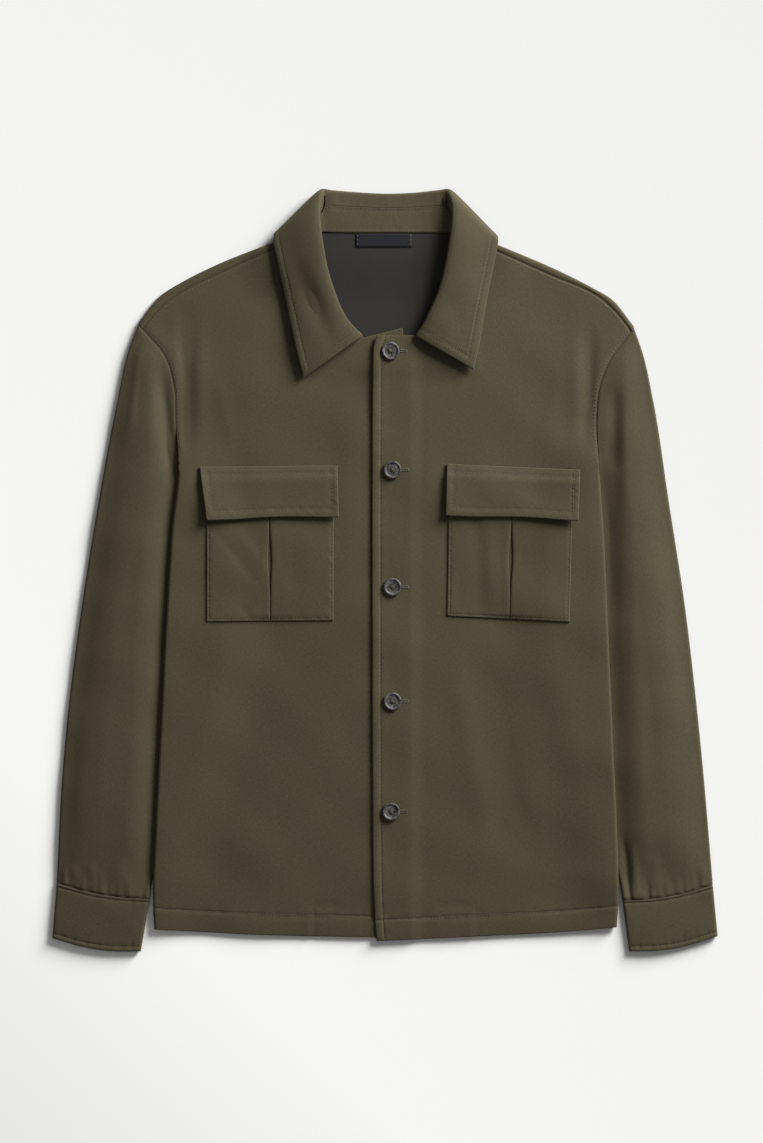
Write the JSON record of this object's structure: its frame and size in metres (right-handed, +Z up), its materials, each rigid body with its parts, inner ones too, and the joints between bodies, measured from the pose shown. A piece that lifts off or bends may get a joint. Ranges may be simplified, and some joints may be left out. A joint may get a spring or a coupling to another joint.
{
  "type": "overshirt",
  "caption": "Long-sleeved overshirt laid flat on its back and buttoned up, with a pointed collar, pleated chest pockets under flaps, and cuffs.",
  "frame": {"origin": "middle of the bounding box's underside, on the surface that the shirt lies on", "axes": "+Z up from the surface, +Y from the hem towards the collar, +X towards the wearer's left, so seen from above the wearer's left sleeve is at the right"},
  "size_m": [0.6649, 0.7614, 0.0214],
  "materials": {
    "cloth": "matt olive twill",
    "lining": "dark grey smooth lining",
    "label": "plain woven label, bare",
    "buttons": "dark mottled horn-like resin"
  },
  "bodies": {
    "root": {"back": "cloth", "back_lining": "lining", "neck_label": "label", "front_right": "cloth", "front_left": "cloth", "sleeve_right": "cloth", "sleeve_left": "cloth", "cuff_right": "cloth", "cuff_left": "cloth", "pocket_right": "cloth", "pocket_left": "cloth", "flap_right": "cloth", "flap_left": "cloth", "collar_stand": "cloth", "collar_leaf": "cloth", "button_1": "buttons", "button_2": "buttons", "button_3": "buttons", "button_4": "buttons", "button_5": "buttons"}
  },
  "joints": []
}
